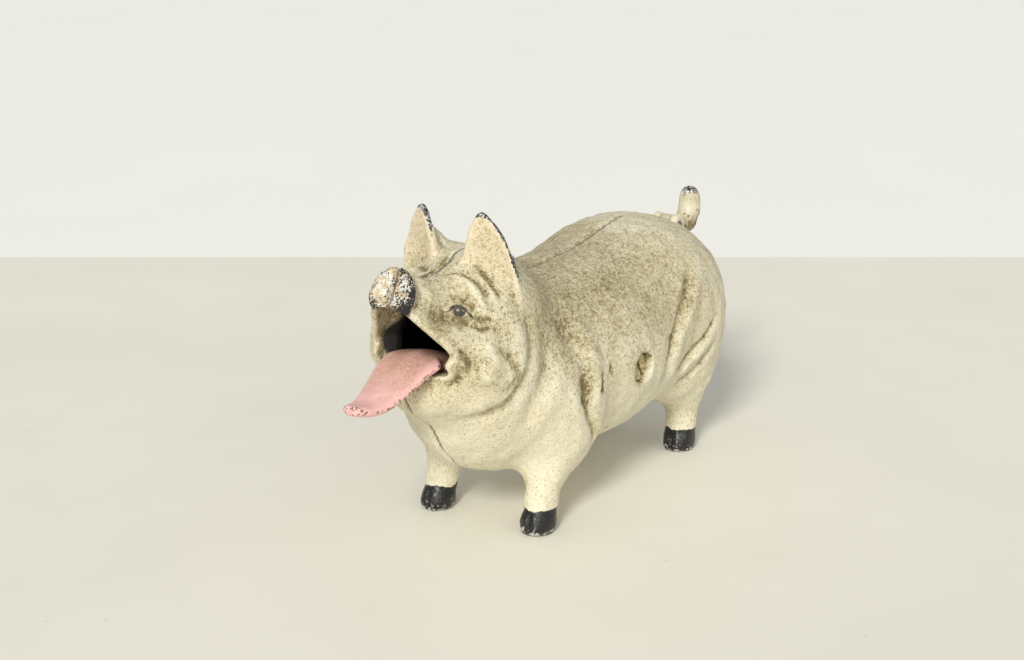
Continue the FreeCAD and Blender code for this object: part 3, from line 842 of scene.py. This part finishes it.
def painted_eye(m):
    """Share of the eye's dark paint: the lid's line and the iris, with a lighter spot in it as a
    painted glint.
    """
    a = m.along(EYE_CENTRE, EYE_BACK)
    b = m.along(EYE_CENTRE, EYE_RISE)
    arch = 1.65 - (a + 0.3) * (a + 0.3) * 0.15
    corner_line = (a - 2.6) * -0.55 + 0.42
    lid = arch + (corner_line - arch) * a.math("GREATER_THAN", 2.6)
    thick = 0.62 - a * 0.07
    stroke = 1.0 - abs(b - lid).ramp(thick - 0.2, thick + 0.15)
    stroke = stroke * a.ramp(-3.6, -3.0) * (1.0 - a.ramp(4.6, 5.3))
    iris_gap = (a + 0.1) * (a + 0.1) * 0.85 + (b - 0.1) * (b - 0.1) * 1.25
    iris = (1.0 - iris_gap.ramp(2.6, 3.5)) * (1.0 - (b - lid).ramp(-0.1, 0.3))
    # glint: painted highlight, a lighter spot in the iris
    glint_gap = (a + 0.7) * (a + 0.7) + (b - 0.5) * (b - 0.5)
    iris = iris * (0.35 + glint_gap.ramp(0.05, 0.30) * 0.65)
    eye = stroke.most(iris) * m.along(EYE_CENTRE, EYE_OUT).ramp(-4.0, -3.0)
    return eye * (1.0 - m.noise(0.9, 2, 0.6).ramp(0.62, 0.70) * 0.6)


def worn_nose(m):
    """Colour of the nose's face, pale paint with dark speckles."""
    blot = m.noise(0.75, 3, 0.75) + (m.noise(5, 2) - 0.5) * 0.35 + m.given("nose_rim") * 0.16
    blot = (blot + m.side * 0.006).ramp(0.535, 0.575)
    pale = m.mix(m.noise(2.4, 3).ramp(0.45, 0.6), BONE, SKIN)
    return m.mix(blot, pale, SOOT)


def body_paint():
    m = Finish("body_paint")
    grime_and_shade = m.given("grime_and_shade")
    bend = m.given("bend")
    ears = m.given("ears")
    snout = m.given("snout")
    inside = m.given("inside")
    ear_front = m.given("ear_front")
    broad = m.noise(38, 3, 0.6)
    patch = m.noise(9, 4, 0.62)
    grain = m.noise(1.3, 3, 0.65)
    fine = m.noise(0.5, 2, 0.6)
    # hollow: painted shade in the mesh's hollows, found from its curvature
    hollow = bend.ramp(0.005, 0.09)
    ridge = (bend * -1.0).ramp(0.01, 0.10)
    broken = (patch - 0.5) * 3.2 + 0.75
    dirt_and_shade = grime_and_shade * broken + hollow * 0.7 + (broad - 0.5) * 1.3 + (patch - 0.5) * 0.9 - ridge * 0.5
    # the flank and the head darken with dirt and painted shade, the paint darkens towards the top,
    # the ears' fronts are cleaner
    flank = m.y.ramp(-64, -48) * (1.0 - m.y.ramp(5, 45)) * m.z.ramp(36, 60)
    head = (1.0 - m.y.ramp(-78, -60)) * m.z.ramp(52, 66)
    dirt_and_shade = dirt_and_shade + m.z.ramp(30, 80) * 0.68 + flank * 0.55 + head * 0.30 - ear_front * 0.45 - 0.16
    base = m.mix(broad.ramp(0.35, 0.65), CREAM, STRAW)
    base = m.mix(ridge * 0.6 + (1.0 - m.z.ramp(14, 52)) * 0.75, base, PALE)
    base = m.mix(dirt_and_shade.ramp(0.0, 1.5) * 0.62, base, TAN)
    base = m.mix(ear_front * 0.5, base, PEACH)
    speck = (fine * 0.5 + grain * 0.5 + dirt_and_shade * 0.10 + ear_front * 0.03).ramp(0.50, 0.66)
    base = m.mix(speck * 0.66, base, OCHRE)
    deep = (fine * 0.5 + grain * 0.5 + dirt_and_shade * 0.12 - ear_front * 0.03).ramp(0.65, 0.78)
    base = m.mix(deep * 0.75, base, BROWN)
    dots = (m.cells(2.6) * -1.0 + 0.14).ramp(0.0, 0.05) * m.noise(22, 2).ramp(0.52, 0.62)
    base = m.mix(dots * 0.8, base, SLATE)
    # bare metal
    fleck = m.noise(1.1, 3, 0.7)
    bare = (ears * 1.05 + (fleck - 0.5) * 1.7).ramp(0.60, 0.74)
    metal = m.mix(m.noise(1.0, 3, 0.7).ramp(0.50, 0.58), IRON, SILVER)
    base = m.mix(bare, base, metal)
    base = m.mix(snout, base, worn_nose(m))
    seam = (1.0 - m.x.ramp(0.25, 0.65)) * (1.0 - inside)
    seam_colour = m.mix(snout, SEAM_DARK, SEAM_RUST)
    base = m.mix(seam * (0.35 + grain * 0.6 - snout * 0.1), base, seam_colour)
    base = m.mix(painted_eye(m) * 0.93, base, EYE_DARK)
    # hooves
    edge = m.z + (m.noise(5, 2) - 0.5) * 2.4 + (m.noise(1.2, 2) - 0.5) * 1.0
    hoof = 1.0 - edge.ramp(8.2, 8.6)
    chip = (m.noise(1.3, 3, 0.7) + ridge * 0.10 + (2.0 - m.z) * 0.035).ramp(0.60, 0.64)
    base = m.mix(hoof, base, m.mix(chip, HOOF_BLACK, HOOF_CHIP))
    # the inside is bare iron, painted near black as painted shade
    base = m.mix(inside, base, m.mix(patch.ramp(0.4, 0.6), INSIDE_DARK, INSIDE_BROWN))
    gloss = hoof * (1.0 - chip)
    rough = 0.62 + (grain - 0.5) * 0.5 + deep * 0.15 - gloss * 0.36 - bare * 0.15
    height = grain * 0.9 + fine * 0.7 + patch * 0.45 - speck * 0.25 - deep * 0.3
    m.bump(height * (1.0 - gloss * 0.7), 1.1, 1.0)
    m.set(Base_Color=base, Roughness=rough, Metallic=bare * 0.7)
    m.shader.inputs["Coat Weight"].default_value = 0.06
    return m.material


def tongue_paint():
    m = Finish("tongue_paint")
    bend = m.given("bend")
    grain = m.noise(1.3, 3, 0.65)
    patch = m.noise(6, 3, 0.6)
    fine = m.noise(0.5, 2)
    pink = m.mix(patch.ramp(0.35, 0.65), PINK, ROSE)
    # root: the tongue turns grey-brown and rougher where it goes in under the lips, worn paint with
    # painted shade
    root = (m.y + (patch - 0.5) * 10).ramp(-95, -85)
    middle = 1.0 - (m.x + (patch - 0.5) * 8).ramp(6, 10.5)
    worn = (m.y + (patch - 0.5) * 18).ramp(-118, -100) * middle
    base = m.mix(worn * 0.7, pink, linear(204, 162, 140))
    base = m.mix(root * 0.8, base, linear(112, 80, 64))
    speck = (fine * 0.6 + grain * 0.4 + worn * 0.06 + root * 0.08).ramp(0.50, 0.68)
    base = m.mix(speck * (0.12 + worn * 0.38), base, linear(150, 108, 88))
    chips = ((bend * -1.0).ramp(0.01, 0.05) * 0.24 + m.noise(0.9, 3, 0.7)).ramp(0.755, 0.80)
    base = m.mix(chips * 0.9, base, linear(92, 72, 66))
    base = m.mix((-76.0 - m.y).ramp(-4, 4) * -1.0 + 1.0, base, linear(60, 48, 42))
    m.bump(grain * 0.5 + fine * 0.3 - speck * 0.3 - chips * 0.6, 0.35, 0.7)
    m.set(Base_Color=base, Roughness=0.45 + (grain - 0.5) * 0.4 + root * 0.15)
    m.shader.inputs["Coat Weight"].default_value = 0.12
    return m.material


def tail_paint():
    m = Finish("tail_paint")
    bend = m.given("bend")
    grain = m.noise(1.2, 3, 0.65)
    patch = m.noise(5, 3, 0.6)
    base = m.mix(patch.ramp(0.35, 0.65), linear(216, 209, 184), linear(196, 184, 150))
    low = 1.0 - (m.z + (patch - 0.5) * 5).ramp(78, 84)
    speck = (grain + low * 0.16 + bend.ramp(0.0, 0.05) * 0.1).ramp(0.60, 0.72)
    base = m.mix(low * 0.5, base, OCHRE)
    base = m.mix(speck * 0.8, base, BROWN)
    rubbed_top = (m.z + (m.noise(2.2, 3, 0.7) - 0.5) * 9).ramp(88.6, 91.4)
    rubbed_back = (m.y - 93.6 + (grain - 0.5) * 6).ramp(1, 2) * 0.6
    worn = rubbed_top.most(rubbed_back)
    base = m.mix(worn, base, m.mix(m.noise(0.8, 2).ramp(0.5, 0.6), IRON, SILVER))
    m.bump(grain * 0.7 + patch * 0.4 - speck * 0.3, 0.4, 0.8)
    m.set(Base_Color=base, Roughness=0.6 + (grain - 0.5) * 0.5, Metallic=worn * 0.6)
    return m.material


def cast_metal(name, dark, light, rust, rough):
    m = Finish(name)
    grain = m.noise(0.9, 4, 0.65)
    patch = m.noise(4, 3, 0.6)
    base = m.mix(grain.ramp(0.35, 0.7), dark, light)
    rusty = patch.ramp(0.5, 0.68)
    base = m.mix(rusty * 0.8, base, rust)
    m.bump(grain * 0.8 + patch * 0.4, 0.18, 0.7)
    m.set(Base_Color=base, Roughness=rough + (patch - 0.5) * 0.5, Metallic=0.85 - rusty * 0.6)
    return m.material


def screw_paint():
    """Paint over the screw's head with brown specks, and brown lower down in the recess."""
    m = Finish("screw_paint")
    grain = m.noise(1.1, 3, 0.65)
    patch = m.noise(3, 3, 0.6)
    base = m.mix((grain * 0.6 + patch * 0.6).ramp(0.5, 0.72), linear(206, 190, 146), OCHRE)
    # low: the head's lower parts in the recess turn brown, dirt and painted shade
    low = 1.0 - m.side.ramp(33.2, 34.2)
    base = m.mix(low * 0.85, base, BROWN)
    base = m.mix((grain + 0.04).ramp(0.60, 0.68) * 0.7, base, BROWN)
    m.bump(grain * 0.8, 0.3, 0.8)
    m.set(Base_Color=base, Roughness=0.62 + (grain - 0.5) * 0.4)
    return m.material


paint = body_paint()
iron = cast_metal("iron", linear(48, 45, 43), linear(88, 84, 80), linear(92, 62, 42), 0.6)
steel = cast_metal("steel", linear(120, 118, 114), linear(172, 170, 165), linear(110, 84, 60), 0.42)
for piece, body_name, slot, nodes, material in (
        (pig_left, "shells", "body_paint", ("left_shell",), paint),
        (pig_right, "shells", "body_paint", ("right_shell",), paint),
        (tongue_piece, "tongue", "tongue_paint", ("tongue_lever",), tongue_paint()),
        (tail_piece, "tail", "tail_paint", ("tail_lever",), tail_paint())):
    piece.data.materials.append(material)
    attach(piece, body_name)
    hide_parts(*nodes)


def give(node, material):
    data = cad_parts[node].data
    data.materials.clear()
    data.materials.append(material)


give("link_rod", iron)
for node in ("tongue_pivot_pin", "tail_pivot_pin", "front_rivet", "rear_rivet", "body_nut"):
    give(node, steel)
give("body_screw", screw_paint())


# ---------------------------------------------------------------- floor and light
def plane(name, corners, material):
    mesh = bpy.data.meshes.new(name)
    mesh.from_pydata([tuple(c) for c in corners], [], [(0, 1, 2, 3)])
    piece = bpy.data.objects.new(name, mesh)
    scene.collection.objects.link(piece)
    mesh.materials.append(material)


SHEET_END = 332.0               # mm behind the pig where the table's tone gives way to a paler one
FLOOR = 8.0                     # m from the middle of the floor to its edges
FLOOR_DROP = -0.2               # mm, just under the hooves


def floor_paint(colour, shade, far_colour):
    """Plain pale ground in two close tones, with a third beyond SHEET_END."""
    m = Finish("floor_paint")
    broad = m.noise(120, 3, 0.6)
    dust = (m.cells(16.0) * -1.0 + 0.045).ramp(0.0, 0.02) * m.noise(50, 2).ramp(0.5, 0.6)
    base = m.mix(broad.ramp(0.3, 0.7), colour, shade)
    behind = m.y * math.cos(AZIMUTH) - m.side * math.sin(AZIMUTH)
    base = m.mix(behind.ramp(SHEET_END - 0.8, SHEET_END + 0.8), base, far_colour)
    base = m.mix(dust * 0.35, base, linear(170, 165, 150))
    m.bump(m.noise(1.2, 3) * 0.5 + m.noise(14, 2) * 0.4, 0.06, 0.3)
    m.set(Base_Color=base, Roughness=0.55 + (broad - 0.5) * 0.2)
    return m.material


def sunlight(name, energy, degrees, towards, colour=(1, 1, 1)):
    data = bpy.data.lights.new(name, "SUN")
    data.energy = energy
    data.angle = math.radians(degrees)
    data.color = colour
    light = bpy.data.objects.new(name, data)
    light.rotation_mode = "QUATERNION"
    light.rotation_quaternion = Vector(towards).to_track_quat("Z", "Y")
    scene.collection.objects.link(light)


origin = row((0, 0, FLOOR_DROP))
corners = [origin + Vector((x, y, 0)) * FLOOR for x, y in ((-1, -1), (1, -1), (1, 1), (-1, 1))]
plane("floor", corners, floor_paint(linear(238, 235, 221), linear(233, 230, 215),
                                    linear(249, 249, 240)))
sunlight("key", 2.75, 14, (0.27, -0.80, 0.53), (1.0, 0.985, 0.955))
sunlight("fill", 0.6, 70, (0.85, -0.45, 0.22))
world = bpy.data.worlds.new("world")
scene.world = world
world.use_nodes = True
sky = world.node_tree.nodes["Background"]
sky.inputs["Color"].default_value = (0.97, 0.985, 1.0, 1)
sky.inputs["Strength"].default_value = 0.45
